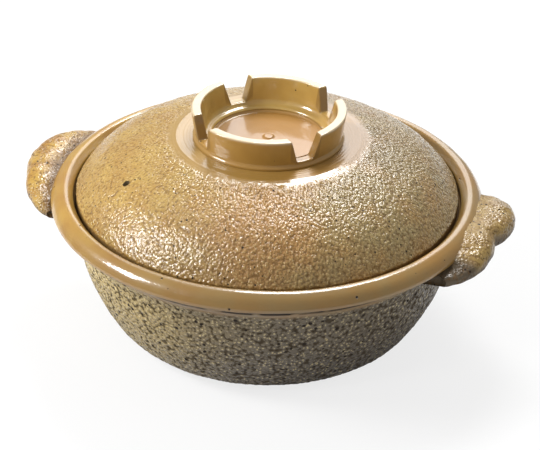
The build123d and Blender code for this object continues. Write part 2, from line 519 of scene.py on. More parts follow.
def build_specks(tree: bpy.types.NodeTree) -> None:
    """Scattered iron specks and pinholes: a mask that is 1 in each."""
    come, out = sockets(
        tree,
        {"Vector": ("Vector", (0, 0, 0)), "Specks per Metre": ("Float", 120.0), "Size": ("Float", 0.1)},
        {"Mask": "Float"},
    )
    sheet = Sheet(tree)
    cells = sheet.node("TexVoronoi", Vector=come.outputs["Vector"], Scale=come.outputs["Specks per Metre"])
    parts = sheet.node("SeparateColor", Color=cells.outputs["Color"])
    size = sheet.times(come.outputs["Size"], parts.outputs[0])
    inside = sheet.ramp(cells.outputs["Distance"], size, sheet.times(size, 0.55))
    chosen = sheet.maths("GREATER_THAN", parts.outputs[1], 0.5)
    sheet.feed(out, "Mask", sheet.times(inside, chosen))


def build_patch(tree: bpy.types.NodeTree) -> None:
    """A patch that the kiln coloured, with an uneven edge: 1 in its middle."""
    come, out = sockets(
        tree,
        {"Vector": ("Vector", (0, 0, 0)), "Centre": ("Vector", (0, 0, 0)), "Reach": ("Float", 0.05)},
        {"Mask": "Float"},
    )
    sheet = Sheet(tree)
    apart = sheet.vector("DISTANCE", come.outputs["Vector"], come.outputs["Centre"])
    rough = sheet.noise(come.outputs["Vector"], 38.0, 4.0)
    share = sheet.maths("DIVIDE", apart.outputs["Value"], come.outputs["Reach"])
    uneven = sheet.maths("ADD", share, sheet.times(sheet.maths("SUBTRACT", rough, 0.5), 1.3))
    sheet.feed(out, "Mask", sheet.ramp(uneven, 1.0, 0.15))


def build_turning(tree: bpy.types.NodeTree) -> None:
    """Fine lines left by the wheel: a height that rises and falls with the radius."""
    come, out = sockets(
        tree,
        {"Vector": ("Vector", (0, 0, 0)), "Radius": ("Float", 0.0), "Lines per Metre": ("Float", 550.0)},
        {"Height": "Float"},
    )
    sheet = Sheet(tree)
    drift = sheet.noise(come.outputs["Vector"], 14.0, 1.0)
    place = sheet.maths("ADD", come.outputs["Radius"], sheet.times(drift, 0.002))
    along = sheet.node("CombineXYZ", X=sheet.times(place, come.outputs["Lines per Metre"]))
    lines = sheet.node("TexNoise", Vector=along.outputs[0], Scale=1.0, Detail=3.0)
    sheet.feed(out, "Height", lines.outputs["Fac"])


BUILDERS: dict[Effect, Callable[[bpy.types.NodeTree], None]] = {
    Effect.PLACE: build_place,
    Effect.CRAWL: build_crawl,
    Effect.SPECKS: build_specks,
    Effect.PATCH: build_patch,
    Effect.TURNING: build_turning,
}


# ---------------------------------------------------------------- finishes
Colour = tuple[float, float, float, float]


@dataclass(frozen=True)
class KilnColours:
    """Colours that the glazes share, from the pale side of the kiln to the dark side, with the dark browns
    and pale grey also used for painted shade and painted reflection.
    """

    ochre: Colour = (0.415, 0.255, 0.05, 1)
    straw: Colour = (0.58, 0.42, 0.15, 1)
    sand: Colour = (0.6, 0.43, 0.13, 1)
    pale: Colour = (0.8, 0.63, 0.3, 1)
    painted_sheen: Colour = (0.58, 0.48, 0.32, 1)
    tan: Colour = (0.42, 0.285, 0.08, 1)
    olive: Colour = (0.25, 0.175, 0.06, 1)
    rust: Colour = (0.33, 0.16, 0.032, 1)
    caramel: Colour = (0.31, 0.155, 0.026, 1)
    umber: Colour = (0.12, 0.062, 0.018, 1)
    painted_shade: Colour = (0.075, 0.06, 0.045, 1)
    hollow_shade: Colour = (0.05, 0.034, 0.018, 1)
    pit: Colour = (0.022, 0.014, 0.008, 1)
    biscuit: Colour = (0.22, 0.145, 0.085, 1)


class Finish:
    """A material in the making: its sheet, its shader and where a point is."""

    def __init__(self, name: str, coat_roughness: float) -> None:
        """Starts a material.

        Args:
            name: name of the material.
            coat_roughness: roughness of the clear glaze over the coloured one.
        """
        self.material = bpy.data.materials.new(name)
        self.material.use_nodes = True
        self.sheet = Sheet(self.material.node_tree)
        self.shader = self.material.node_tree.nodes["Principled BSDF"]
        self.sheet.feeds(
            self.shader, Specular_IOR_Level=0.35, Coat_IOR=1.6, Coat_Roughness=coat_roughness
        )
        self.place = self.sheet.group(Effect.PLACE.tree())
        self.where = self.place.outputs["Vector"]
        self.around = self.place.outputs["Around"]
        self.radius = self.place.outputs["Radius"]
        self.height = self.place.outputs["Height"]

    def mark(self, name: str) -> bpy.types.NodeSocket:
        """A value that the mesh carries at each point."""
        return self.sheet.node("Attribute", {"attribute_name": name}).outputs["Fac"]

    def flame_side(self, turn: float) -> bpy.types.NodeSocket:
        """0 on the side that faced away from the flame, 1 on the side towards it, across the pot."""
        axis = self.sheet.vector("DOT_PRODUCT", self.where, (math.cos(turn), math.sin(turn), 0))
        drift = self.sheet.noise(self.where, 16.0, 3.0)
        moved = self.sheet.maths("ADD", axis.outputs["Value"], self.sheet.times(drift, 0.06))
        return self.sheet.ramp(moved, -0.06, 0.11)

    def front(self, start: float, end: float) -> bpy.types.NodeSocket:
        """0 where Y is start and 1 where it is end, further to the front."""
        parts = self.sheet.node("SeparateXYZ", Vector=self.where)
        return self.sheet.ramp(parts.outputs[1], start, end)

    def near_axis(self, radius: float, azimuth: float, reach: float) -> bpy.types.NodeSocket:
        """1 within this reach of an upright line at a radius and azimuth, and 0 outside."""
        angle = math.radians(azimuth)
        parts = self.sheet.node("SeparateXYZ", Vector=self.where)
        flat = self.sheet.node("CombineXYZ", X=parts.outputs[0], Y=parts.outputs[1])
        axis = (radius * math.cos(angle), radius * math.sin(angle), 0)
        apart = self.sheet.vector("DISTANCE", flat.outputs[0], axis)
        return self.sheet.ramp(apart.outputs["Value"], reach, reach * 0.9)

    def specks(self, per_metre: float, size: float) -> bpy.types.NodeSocket:
        """Mask of scattered specks, this many to the metre and up to this share of their cell in size."""
        tree = Effect.SPECKS.tree()
        return self.sheet.group(tree, Vector=self.where, Specks_per_Metre=per_metre, Size=size).outputs[0]

    def relief(self, steps: list[tuple[object, float]], coat_share: float = 0.5) -> None:
        """Raises the surface in the light.

        Args:
            steps: heights, each with the depth in metres that 1 stands for.
            coat_share: how much of that depth still shows in the clear glaze on top.
        """
        for target, share in (("Normal", 1.0), ("Coat Normal", coat_share)):
            normal = None
            for height, depth in steps:
                bump = self.sheet.node("Bump", Height=height, Distance=depth * share, Strength=1.0)
                if normal is not None:
                    self.sheet.feed(bump, "Normal", normal)
                normal = bump.outputs[0]
            self.sheet.feed(self.shader, target, normal)

    def wear(self, colour: object, roughness: object, coat: object) -> bpy.types.Material:
        """Feeds the shader its colour, its roughness and the weight of its coat."""
        self.sheet.feeds(self.shader, Base_Color=colour, Roughness=roughness, Coat_Weight=coat)
        return self.material


@dataclass(frozen=True)
class LidGlaze:
    """Crawled glossy glaze on the dome, smooth on the collar, biscuit on the seat."""

    vent_radius: float
    vent_azimuth: float
    vent_reach: float = 2.1 * MM
    colours: KilnColours = KilnColours()
    flush_centre: tuple[float, float, float] = (0.018, -0.09, 0.108)
    flush_reach: float = 0.06
    smooth_radius: float = 0.058

    def build(self) -> bpy.types.Material:
        """Makes the material."""
        finish = Finish("lid_glaze", coat_roughness=0.11)
        sheet, colours = finish.sheet, self.colours
        crawl = sheet.group(Effect.CRAWL.tree(), Vector=finish.around, Beads_per_Metre=680.0)
        specks = finish.specks(330.0, 0.3)
        flush = sheet.group(
            Effect.PATCH.tree(), Vector=finish.where, Centre=self.flush_centre, Reach=self.flush_reach
        )
        edge = sheet.times(sheet.maths("SUBTRACT", sheet.noise(finish.where, 60.0, 3.0), 0.5), 0.012)
        place = sheet.maths("ADD", finish.radius, edge)
        rough_part = sheet.ramp(place, self.smooth_radius - 0.003, self.smooth_radius + 0.008)
        skin = sheet.times(rough_part, finish.mark("crawled"))
        side = finish.flame_side(0.0)
        colour = sheet.blend(side, colours.ochre, colours.olive)
        cloud = sheet.ramp(sheet.noise(finish.where, 55.0, 4.0), 0.35, 0.7)
        colour = sheet.tint(colour, cloud, 0.6, colours.caramel)
        colour = sheet.tint(colour, flush.outputs[0], 0.95, colours.rust)
        colour = sheet.tint(colour, finish.front(-0.07, -0.11), 0.35, colours.umber)
        smooth_colour = sheet.blend(sheet.between(side, 0.3, 0.95), colours.tan, colours.caramel)
        smooth_colour = sheet.blend(0.2, smooth_colour, colours.umber)
        colour = sheet.blend(skin, smooth_colour, colour)
        # Darker in the crawl's gaps: partly the glaze's own tone there, partly painted shade.
        deep = sheet.times(crawl.outputs["Gaps"], skin)
        colour = sheet.tint(colour, deep, 0.6, colours.umber)
        # Fine darker and lighter flecks: painted shade and painted highlight for the grit's bumps.
        grit = sheet.noise(finish.where, 820.0, 1.5)
        grit_shade = sheet.times(sheet.ramp(grit, 0.42, 0.3), skin)
        colour = sheet.tint(colour, grit_shade, 0.6, colours.umber)
        grit_highlight = sheet.times(sheet.ramp(grit, 0.56, 0.68), skin)
        colour = sheet.tint(colour, grit_highlight, 0.25, colours.pale)
        # Bead tops a little lighter: painted highlight.
        bead_highlight = sheet.times(crawl.outputs["Beads"], skin)
        colour = sheet.tint(colour, bead_highlight, 0.16, colours.straw)
        colour = sheet.tint(colour, specks, skin, colours.pit)
        well = sheet.ramp(finish.radius, 0.036, 0.031)
        colour = sheet.tint(colour, well, 0.85, colours.rust)
        # The vent's wall and a thin ring round it are painted near-black: painted shade inside the hole.
        vent = finish.near_axis(self.vent_radius, self.vent_azimuth, self.vent_reach)
        colour = sheet.blend(vent, colour, colours.pit)
        colour = sheet.blend(finish.mark("bare"), colour, colours.biscuit)
        # Painted shade on the lid's edge, in the gap where it sits in the gallery.
        colour = sheet.tint(colour, finish.mark("gap_shade"), 0.75, colours.umber)
        lines = sheet.group(Effect.TURNING.tree(), Vector=finish.where, Radius=finish.radius)
        thrown = sheet.maths("SUBTRACT", 1.0, sheet.most(skin, sheet.times(well, 0.75)))
        strength = sheet.between(side, 0.7, 1.0)
        finish.relief(
            [
                (sheet.times(lines.outputs[0], thrown), 0.00035),
                (sheet.times(sheet.times(crawl.outputs["Height"], skin), strength), 0.0013),
                (sheet.times(grit, skin), 0.0005),
            ],
            coat_share=0.6,
        )
        pits = sheet.times(specks, skin)
        dull = sheet.most(finish.mark("bare"), sheet.times(deep, 0.7), pits, finish.mark("gap_shade"), vent)
        return finish.wear(colour, sheet.between(dull, 0.42, 0.85), sheet.between(dull, 1.0, 0.0))


@dataclass(frozen=True)
class BowlGlaze:
    """Sandy glaze on the bowl, smooth and glossy on the band, biscuit on ledge and base."""

    colours: KilnColours = KilnColours()
    shade_top: float = 0.085

    def build(self) -> bpy.types.Material:
        """Makes the material."""
        finish = Finish("bowl_glaze", coat_roughness=0.13)
        sheet, colours = finish.sheet, self.colours
        sand = finish.mark("sandy")
        grain = sheet.group(Effect.CRAWL.tree(), Vector=finish.where, Beads_per_Metre=430.0)
        specks = finish.specks(300.0, 0.5)
        holes = finish.specks(170.0, 0.16)
        dark_side = finish.flame_side(-0.2)
        low = sheet.ramp(finish.height, self.shade_top, 0.0)
        body = sheet.blend(dark_side, colours.sand, colours.olive)
        # Darker and greyer towards the bottom and towards the pot's right side: painted shade.
        depth = sheet.maths("ADD", sheet.times(low, 0.4), sheet.times(dark_side, 0.8))
        body = sheet.blend(sheet.maths("MULTIPLY", depth, 0.8, clamp=True), body, colours.painted_shade)
        # Dark in the hollows between grains: painted shade.
        hollows = sheet.ramp(grain.outputs["Height"], 0.42, 0.26)
        body = sheet.tint(body, hollows, 0.85, colours.hollow_shade)
        # Pale on the grains' tips: painted highlight.
        tip_highlight = sheet.ramp(grain.outputs["Height"], 0.54, 0.68)
        body = sheet.tint(body, tip_highlight, 0.55, colours.pale)
        body = sheet.blend(specks, body, colours.pit)
        band = sheet.blend(dark_side, colours.ochre, colours.olive)
        cloud = sheet.ramp(sheet.noise(finish.where, 45.0, 4.0), 0.3, 0.7)
        band = sheet.blend(sheet.between(cloud, 0.25, 0.85), band, colours.caramel)
        band = sheet.tint(band, finish.front(-0.07, -0.13), 0.4, colours.umber)
        band = sheet.blend(holes, band, colours.pit)
        colour = sheet.blend(sand, band, body)
        # The dark strip under the band: the join line there, widened into painted shade under the band's
        # overhang.
        seam = sheet.ramp(sheet.noise(finish.where, 60.0, 4.0), 0.36, 0.5)
        seam = sheet.times(finish.mark("crease"), seam)
        colour = sheet.blend(seam, colour, colours.pit)
        colour = sheet.blend(finish.mark("bare"), colour, colours.biscuit)
        # Painted shade on the gallery's lower wall, in the gap round the lid.
        colour = sheet.tint(colour, finish.mark("gap_shade"), 0.75, colours.umber)
        finish.relief(
            [
                (sheet.times(grain.outputs["Height"], sand), 0.0017),
                (sheet.noise(finish.where, 300.0, 2.0), 0.00012),
                (holes, -0.0005),
            ],
            coat_share=0.7,
        )
        pits = sheet.times(sheet.most(specks, hollows), sand)
        dull = sheet.most(finish.mark("bare"), finish.mark("gap_shade"), seam, pits, holes)
        coat = sheet.between(dull, sheet.between(sand, 1.0, 0.75), 0.0)
        return finish.wear(colour, sheet.between(dull, 0.4, 0.9), coat)


@dataclass(frozen=True)
class EarGlaze:
    """Crawled glossy glaze over lumpy pressed clay, with painted shade underneath, low down and at the near
    end.
    """

    name: str
    painted_shade: float
    root_shade: float
    shade_edge: float
    colours: KilnColours = KilnColours()
    shade_top: float = 0.084
    root_radius: float = 0.132

    def build(self) -> bpy.types.Material:
        """Makes the material."""
        finish = Finish(self.name, coat_roughness=0.09)
        sheet, colours = finish.sheet, self.colours
        crawl = sheet.group(Effect.CRAWL.tree(), Vector=finish.where, Beads_per_Metre=560.0)
        specks = finish.specks(330.0, 0.4)
        cloud = sheet.ramp(sheet.noise(finish.where, 90.0, 4.0), 0.35, 0.65)
        colour = sheet.blend(cloud, colours.ochre, colours.caramel)
        colour = sheet.tint(colour, finish.flame_side(0.0), 0.6, colours.olive)
        # Painted shade in the trough where the ear meets the band.
        root = sheet.ramp(finish.radius, self.root_radius + 0.011, self.root_radius)
        colour = sheet.tint(colour, root, self.root_shade, colours.umber)
        # Painted shade on faces that turn downward, low down and on the near end.
        facing = sheet.node("NewGeometry").outputs["Normal"]
        upward = sheet.node("SeparateXYZ", Vector=facing).outputs[2]
        under = sheet.ramp(upward, 0.42, -0.2)
        low = sheet.ramp(finish.height, self.shade_top, self.shade_top - 0.014)
        near_end = finish.front(self.shade_edge + 0.004, self.shade_edge - 0.004)
        shade = sheet.most(sheet.times(low, 0.6), under, near_end)
        colour = sheet.tint(colour, shade, self.painted_shade, colours.painted_shade)
        # Darker in the crawl's gaps: partly the glaze's own tone there, partly painted shade.
        colour = sheet.tint(colour, crawl.outputs["Gaps"], 0.7, colours.umber)
        colour = sheet.blend(specks, colour, colours.pit)
        patchy = sheet.between(sheet.ramp(sheet.noise(finish.where, 110.0, 2.0), 0.35, 0.65), 0.25, 1.0)
        finish.relief([(sheet.times(crawl.outputs["Height"], patchy), 0.0014)], coat_share=0.6)
        gaps = sheet.times(crawl.outputs["Gaps"], 0.7)
        dull = sheet.most(specks, gaps, sheet.times(sheet.most(shade, root), 0.6))
        return finish.wear(colour, sheet.between(dull, 0.4, 0.85), sheet.between(dull, 0.7, 0.0))


@dataclass(frozen=True)
class KnobGlaze:
    """Smooth glossy caramel glaze, with a painted pale reflection on the flat tops of the raised parts."""

    colours: KilnColours = KilnColours()

    def build(self) -> bpy.types.Material:
        """Makes the material."""
        finish = Finish("knob_glaze", coat_roughness=0.06)
        sheet, colours = finish.sheet, self.colours
        cloud = sheet.ramp(sheet.noise(finish.where, 45.0, 4.0), 0.3, 0.7)
        colour = sheet.blend(cloud, colours.tan, colours.sand)
        drift = sheet.ramp(sheet.noise(finish.where, 24.0, 2.0), 0.42, 0.6)
        colour = sheet.tint(colour, drift, 0.35, colours.caramel)
        colour = sheet.tint(colour, finish.front(0.01, -0.035), 0.8, colours.caramel)
        colour = sheet.tint(colour, finish.flame_side(0.0), 0.6, colours.caramel)
        colour = sheet.tint(colour, finish.mark("cut"), 0.45, colours.umber)
        # Pale grey on the flat tops of the raised parts: painted reflection.
        colour = sheet.tint(colour, finish.mark("edge"), 0.75, colours.painted_sheen)
        holes = finish.specks(150.0, 0.12)
        colour = sheet.blend(holes, colour, colours.pit)
        lines = sheet.group(Effect.TURNING.tree(), Vector=finish.where, Radius=finish.height)
        finish.relief([(sheet.noise(finish.where, 160.0, 2.0), 0.0002), (lines.outputs[0], 0.00012)])
        return finish.wear(colour, 0.35, 1.0)


# ---------------------------------------------------------------- pieces of the pot
@dataclass
class Bowl:
    """The thrown bowl with its band, its gallery and its flat base.

    Sand_rows and the field after it count rows of the mesh under the crease, where the sandy glaze and the
    dark strip come in; that strip is the dark join line under the band, widened into painted shade under the
    band's overhang. Foot_rows is how many rows above the foot the unevenness takes to come in. Shaded_width
    and shaded_drop bound the part of the gallery's wall that is darkened with painted shade, for the gap
    round the lid.
    """

    segments: int = 900
    base_radius: float = 74 * MM
    heel_radius: float = 30 * MM
    heel_turn: float = 60.0
    waist_radius: float = 117 * MM
    waist_drop: float = 30.5 * MM
    wall: float = 7.5 * MM
    floor: float = 9 * MM
    crest_radius: float = 124.3 * MM
    band_drop: float = 6.8 * MM
    band_round: float = 3.3 * MM
    crease_radius: float = 129 * MM
    crease_drop: float = 10.2 * MM
    bead_width: float = 3.2 * MM
    bead_round: float = 3 * MM
    mouth_drop: float = 4.2 * MM
    gallery_radius: float = 119.1 * MM
    gallery_depth: float = 9 * MM
    ledge_width: float = 8 * MM
    gallery_round: float = 1.2 * MM
    sand_rows: tuple[float, float] = (12, 17)
    band_shade_rows: tuple[float, float] = (11.6, 9.4)
    foot_rows: int = 14
    shaded_width: float = 1.2 * MM
    shaded_drop: float = 5.6 * MM
    work: HandWork = field(default_factory=lambda: HandWork(11))

    def profile(self) -> Profile:
        """The bowl's half section, from the middle of the base over the rim to the floor inside."""
        low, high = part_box("pot_bowl")
        top, band = high.z, high.x
        crease_z, ledge_z = top - self.crease_drop, top - self.gallery_depth
        line = Profile((MM, low.z), 4 * MM)
        line.line((self.base_radius - 6 * MM, low.z)).space(0.9 * MM).line((self.base_radius, low.z))
        line.mark("foot").bend(self.heel_radius, math.radians(self.heel_turn))
        line.arc((self.waist_radius, top - self.waist_drop))
        line.arc((self.crease_radius, crease_z)).mark("crease")
        line.space(0.6 * MM).rounded(
            [
                (band, crease_z + 1.3 * MM, self.gallery_round),
                (band, top - self.band_drop, self.band_round),
                (band - 2.5 * MM, top - 2.4 * MM, 9 * MM),
                (self.crest_radius + self.bead_width / 2, top, self.bead_round + 1.8 * MM),
                (self.crest_radius - self.bead_width / 2, top, self.bead_round),
                (self.gallery_radius, top - self.mouth_drop, self.gallery_round),
                (self.gallery_radius, ledge_z, self.gallery_round),
                (self.gallery_radius - MM, ledge_z, 0.0),
            ]
        )
        line.mark("ledge").line((self.gallery_radius - self.ledge_width, ledge_z))
        line.mark("brink").space(2.5 * MM)
        line.line((self.waist_radius - self.wall, top - self.waist_drop))
        inner_heel = self.heel_radius - self.wall
        turn = math.radians(self.heel_turn)
        heel_top = (
            self.base_radius + inner_heel * math.sin(turn),
            self.floor + inner_heel * (1 - math.cos(turn)),
        )
        line.arc(heel_top, heading=np.array(heel_top) - line.points[-1] - np.array([0.0, 12 * MM]))
        line.arc((self.base_radius, self.floor)).line((MM, self.floor))
        return line

    def build(self) -> bpy.types.Object:
        """Makes the bowl and dresses it."""
        line = self.profile()
        grid = turned(line.outline(), self.segments)
        normals = grid_normals(grid, False, True)
        spots = grid.reshape(-1, 3)
        outside = line.share("foot", "crease")
        index = np.arange(len(outside)).astype(float)
        crease_row = line.marks["crease"]
        sand_start, sand_end = (crease_row - rows for rows in self.sand_rows)
        sandy = all_round(outside * ramp(index, sand_start, sand_end), self.segments)
        bare_rows = np.maximum(line.share("ledge", "brink"), line.share("start", "foot"))
        bare = all_round(bare_rows, self.segments)
        # Rows of the dark strip under the band: the join line, widened into painted shade under the band's
        # overhang.
        band_shade_start, band_shade_end = (crease_row - rows for rows in self.band_shade_rows)
        band_shade_by_row = ramp(index, band_shade_start, band_shade_end)
        band_shade_by_row *= index <= crease_row + 1
        outline = line.outline()
        # Rows of the gallery's lower wall that get painted shade, for the gap round the lid.
        in_gap = (index > crease_row) & (index <= line.marks["brink"])
        in_gap &= outline[:, 0] < self.gallery_radius + self.shaded_width
        in_gap &= outline[:, 1] < outline[:, 1].max() - self.shaded_drop
        gap_shade = all_round(in_gap.astype(float), self.segments)
        crease = all_round(band_shade_by_row, self.segments)
        inside = np.where(index > line.marks["brink"], 1.0, 0.0)
        foot_row = line.marks["foot"]
        above_rows = np.maximum(ramp(index, foot_row, foot_row + self.foot_rows), inside)
        above = all_round(above_rows, self.segments)
        relief = self.work.layered(spots, 26 * MM) * 0.22 * MM
        relief += sandy.ravel() * self.work.layered(spots, 5.5 * MM, 2) * 0.16 * MM
        relief += sandy.ravel() * (self.work.grains(spots, 2.6 * MM) - 0.5) * 0.75 * MM
        relief *= above.ravel()
        shaped = raised(grid, normals, relief)
        marks = {"sandy": sandy, "bare": bare, "crease": crease, "gap_shade": gap_shade}
        made = grid_object("bowl_body", shaped, False, marks)
        made.data.materials.append(BowlGlaze().build())
        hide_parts("pot_bowl")
        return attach(made, "pot")


@dataclass
class Lobe:
    """One lobe of an ear, with its middle and half spread in degrees, from blunt at 0 to pointed at 1."""

    reach: float
    middle: float
    spread: float
    fullness: float


@dataclass
class Ear:
    """A two-lobed ear that was pressed onto the band by hand.

    The strength of its painted shade, the root's painted shade and the edge where the painted shade on its
    near end begins go to its glaze. Smear is how far its top runs up onto the band's slope, and smear_end the
    half angle at which that stops. Ridge_fall bends the fall of its ridge to the ends, and melt is how softly
    its two lobes run together.
    """

    name: str
    node: str
    side: int
    lobes: tuple[Lobe, Lobe]
    work: HandWork
    painted_shade: float
    root_shade: float
    shade_edge: float
    smear: float
    smear_end: float
    ridge_fall: float
    melt: float
    half_width: float = 55 * MM
    band_radius: float = 133 * MM
    crease_radius: float = 129 * MM
    waist_radius: float = 117 * MM
    pot_height: float = 93 * MM
    ledge_z: float = 84 * MM
    top_drop: float = 3 * MM
    top_half_angle: float = 8.0
    end_drop: float = 12.5 * MM
    end_reach: float = 3 * MM
    valley: float = 2.2 * MM
    swell: float = 2.4 * MM
    chin_drop: float = 18 * MM
    hollow: float = 3 * MM
    root_drop: float = 25 * MM
    stations: int = 150
    around: int = 96

    def reach(self, angle: float) -> float:
        """How far the ear stands out past the crease at this angle."""
        total = 0.0
        for lobe in self.lobes:
            share = min(1.0, abs(angle - lobe.middle) / lobe.spread)
            total += math.exp(lobe.reach * math.cos(math.radians(90 * share)) ** lobe.fullness / self.melt)
        return max(self.end_reach, self.melt * math.log(total))

    def section(self, angle: float, half_angle: float) -> Array:
        """Closed section at an angle, as rows of radius and height."""
        reach = self.reach(angle)
        fall = max(0.0, (abs(angle) - self.top_half_angle) / (half_angle - self.top_half_angle))
        ridge = self.pot_height - self.top_drop - (self.end_drop - self.top_drop) * fall**self.ridge_fall
        lift = self.smear * float(ramp(np.array(abs(angle + 1.5)), self.smear_end + 2.5, self.smear_end))
        chin = self.pot_height - self.chin_drop
        nose = self.crease_radius + reach
        plump = reach / self.lobes[0].reach
        top = np.array(
            [
                (self.waist_radius + 5.5 * MM * lift, min(self.ledge_z, ridge) - self.valley + 8 * MM * lift),
                (self.crease_radius + reach / 10, ridge - self.valley * plump + 4.6 * MM * lift),
                (self.crease_radius + reach / 2, ridge + self.swell * plump),
                (nose, ridge + self.swell * plump),
                (nose, (ridge + chin) / 2),
            ]
        )
        under = np.array(
            [
                (nose, (ridge + chin) / 2),
                (nose, chin),
                (nose - reach / 3, chin - self.swell * plump),
                (self.crease_radius + reach / 5, chin + self.hollow * plump),
                (self.waist_radius - 4 * MM, self.pot_height - self.root_drop),
            ]
        )
        share = np.linspace(0, 1, self.around // 2, endpoint=False)[:, None]
        weights = [math.comb(4, k) * share**k * (1 - share) ** (4 - k) for k in range(5)]
        halves = [sum(w * p for w, p in zip(weights, poles)) for poles in (top, under)]
        return np.concatenate([*halves, under[-1:]])

    def build(self) -> bpy.types.Object:
        """Makes the ear and dresses it."""
        half_angle = math.degrees(math.asin(self.half_width / self.band_radius))
        columns = []
        for angle in np.linspace(-half_angle, half_angle, self.stations):
            section = self.section(float(angle), half_angle)
            turn = math.radians(angle)
            east = self.side * section[:, 0] * math.cos(turn)
            columns.append(np.stack([east, section[:, 0] * math.sin(turn), section[:, 1]], axis=1))
        grid = np.stack(columns, axis=1)
        if self.side < 0:
            grid = grid[:, ::-1]
        normals = grid_normals(grid, True, False)
        spots = grid.reshape(-1, 3)
        relief = self.work.layered(spots, 13 * MM) * 0.55 * MM
        relief += self.work.layered(spots, 5 * MM, 2) * 0.24 * MM
        shaped = raised(grid, normals, relief)
        made = grid_object(self.name, shaped, True, {})
        glaze = EarGlaze(self.name + "_glaze", self.painted_shade, self.root_shade, self.shade_edge)
        made.data.materials.append(glaze.build())
        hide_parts(self.node)
        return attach(made, "pot")


@dataclass
class Lid:
    """The domed lid with its collar, its well, its seat and its steam vent."""

    segments: int = 840
    pot_height: float = 93 * MM
    edge_height: float = 6.6 * MM
    seat_width: float = 6 * MM
    wall: float = 6.5 * MM
    edge_round: float = 1 * MM
    shoulder_radius: float = 90 * MM
    shoulder_rise: float = 21.5 * MM
    collar_radius: float = 56 * MM
    crown_slope: float = 12.0
    well_radius: float = 34 * MM
    well_depth: float = 1.2 * MM
    nub_radius: float = 2.6 * MM
    nub_height: float = 0.9 * MM
    vent_radius: float = 93 * MM
    vent_azimuth: float = -137.4
    vent_width: float = 3.9 * MM
    work: HandWork = field(default_factory=lambda: HandWork(23))

    def profile(self) -> Profile:
        """The lid's half section, from the middle of the well over the edge to the crown inside."""
        low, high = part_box("lid_dome")
        seat_z, rim, top = low.z, high.x, high.z
        edge_z = seat_z + self.edge_height
        shoulder = (self.shoulder_radius, self.pot_height + self.shoulder_rise)
        slope = math.radians(self.crown_slope)
        well_z = top - self.well_depth
        line = Profile((0.4 * MM, well_z + self.nub_height), 0.7 * MM)
        nub_top = (self.nub_radius, well_z + self.nub_height, 0.6 * MM)
        line.rounded([nub_top, (self.nub_radius + MM, well_z, MM)])
        line.line((self.well_radius - self.well_depth, well_z)).line((self.well_radius, top))
        line.line((self.collar_radius, top)).mark("collar").space(0.8 * MM)
        line.arc(shoulder, heading=np.array([math.cos(slope), -math.sin(slope)]))
        line.arc((rim, edge_z)).mark("edge")
        line.space(0.5 * MM).rounded(
            [
                (rim, seat_z, self.edge_round),
                (rim - self.seat_width, seat_z, self.edge_round),
                (rim - self.seat_width, seat_z + 2 * self.edge_round, 0.0),
            ]
        )
        line.mark("seat_end").space(2.5 * MM)
        under_top = (self.collar_radius - self.wall * math.sin(slope), top - self.wall * math.cos(slope))
        under_shoulder = (self.shoulder_radius - self.wall * 0.42, shoulder[1] - self.wall * 0.9)
        line.arc(under_shoulder, heading=np.array([-0.55, 0.83])).arc(under_top)
        line.line((0.4 * MM, under_top[1]))
        return line

    def build(self) -> bpy.types.Object:
        """Makes the lid and dresses it."""
        line = self.profile()
        outline = line.outline()
        grid = turned(outline, self.segments)
        normals = grid_normals(grid, False, True)
        spots = grid.reshape(-1, 3)
        rows = np.arange(len(outline)).astype(float)
        dome_rows = ramp(outline[:, 0], self.collar_radius, self.collar_radius + 8 * MM)
        edge_row = line.marks["edge"]
        round_edge = line.share("edge", "seat_end") * ramp(rows, edge_row + 8, edge_row) * (rows > edge_row)
        dome_rows *= line.share("collar", "edge") + round_edge
        crawled = all_round(np.clip(dome_rows, 0, 1), self.segments)
        seat_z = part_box("lid_dome")[0].z
        seat_rows = line.share("edge", "seat_end") * (outline[:, 1] < seat_z + 2.2 * MM)
        bare = all_round(seat_rows, self.segments)
        relief = self.work.layered(spots, 30 * MM) * 0.2 * MM
        relief += crawled.ravel() * self.work.layered(spots, 6 * MM, 2) * 0.14 * MM
        relief += crawled.ravel() * (self.work.grains(spots, 2.5 * MM) - 0.5) * 0.3 * MM
        relief *= 1 - bare.ravel()
        shaped = raised(grid, normals, relief)
        edge_z = seat_z + self.edge_height
        # The outside below a wavering line round the lid's edge gets painted shade, for the gap where the lid
        # sits in the gallery.
        waver = self.work.swell(spots, 3 * MM).reshape(crawled.shape) * MM
        below_edge = ramp(shaped[:, :, 2] - waver, edge_z + 0.5 * MM, edge_z - 1.2 * MM)
        outer = (rows >= line.marks["collar"]) & (rows <= line.marks["seat_end"])
        gap_shade = below_edge * outer[:, None]
        made = grid_object("lid_shell", shaped, False, {"crawled": crawled, "bare": bare, "gap_shade": gap_shade})
        self.drill_vent(made)
        made.data.materials.append(LidGlaze(self.vent_radius, self.vent_azimuth).build())
        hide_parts("lid_dome")
        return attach(made, "lid")

    def drill_vent(self, shell: bpy.types.Object) -> None:
        """Cuts the steam vent through the shell."""
        angles = np.linspace(0, 2 * math.pi, 24, endpoint=False)
        turn = math.radians(self.vent_azimuth)
        middle = np.array([math.cos(turn), math.sin(turn)])
        circle = np.stack([np.cos(angles), np.sin(angles)], axis=1)
        ring = middle * self.vent_radius + circle * self.vent_width / 2
        levels = [self.pot_height, self.pot_height + 0.04]
        grid = np.stack([np.concatenate([ring, np.full((24, 1), z)], axis=1) for z in levels])
        cutter = grid_object("vent_cutter", grid, False, {})
        cut = shell.modifiers.new("vent", "BOOLEAN")
        cut.operation = "DIFFERENCE"
        cut.object = cutter
        cut.solver = "EXACT"
        frozen(shell)
        bpy.data.objects.remove(cutter)


